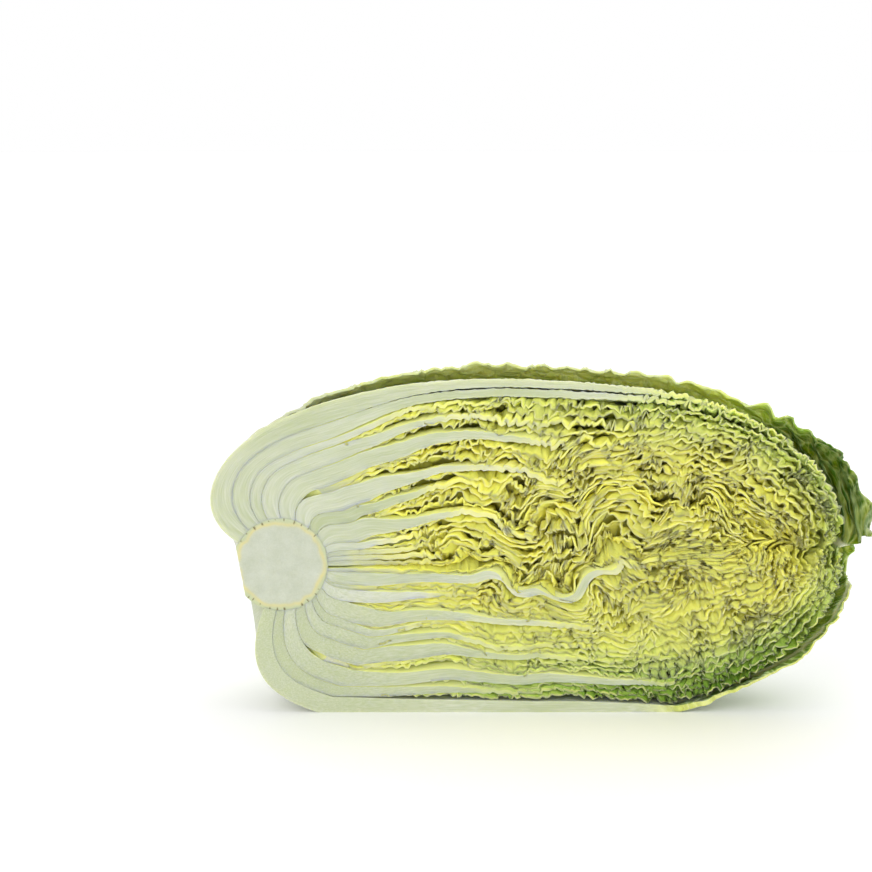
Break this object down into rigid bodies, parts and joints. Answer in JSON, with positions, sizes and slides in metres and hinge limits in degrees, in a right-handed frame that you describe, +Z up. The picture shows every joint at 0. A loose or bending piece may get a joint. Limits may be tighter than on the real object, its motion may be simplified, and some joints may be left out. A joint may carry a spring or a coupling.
{
  "type": "halved napa cabbage",
  "caption": "Napa cabbage head cut in half lengthwise and lying on its side, with white midribs fanning out from a short stem into crinkled yellow and green leaves.",
  "frame": {"origin": "on the surface that the half lies on, under the middle of its bounding box", "axes": "+X from the cut stem to the leaf tips, +Y from the cut face to the rounded back, +Z up"},
  "size_m": [0.302, 0.0798, 0.1632],
  "materials": {
    "stem": "moist cut stem, pale green-white, with fine fibres",
    "outer_leaf": "waxy blistered green blade with branching veins and a smooth white midrib",
    "middle_leaf": "moist pale yellow-green blade, white midrib, lighter where it was cut",
    "heart_leaf": "moist crinkled yellow blade, cream where it was cut"
  },
  "bodies": {
    "root": {"core": "stem", "leaf_01": "outer_leaf", "leaf_02": "outer_leaf", "leaf_03": "outer_leaf", "leaf_04": "middle_leaf", "leaf_05": "middle_leaf", "leaf_06": "middle_leaf", "leaf_07": "middle_leaf", "leaf_08": "middle_leaf", "leaf_09": "middle_leaf", "leaf_10": "middle_leaf", "leaf_11": "heart_leaf", "leaf_12": "heart_leaf", "leaf_13": "heart_leaf", "leaf_14": "heart_leaf", "leaf_15": "heart_leaf", "leaf_16": "heart_leaf", "leaf_17": "heart_leaf", "leaf_18": "heart_leaf", "leaf_19": "heart_leaf", "leaf_20": "heart_leaf", "heart_bud": "heart_leaf"}
  },
  "joints": []
}
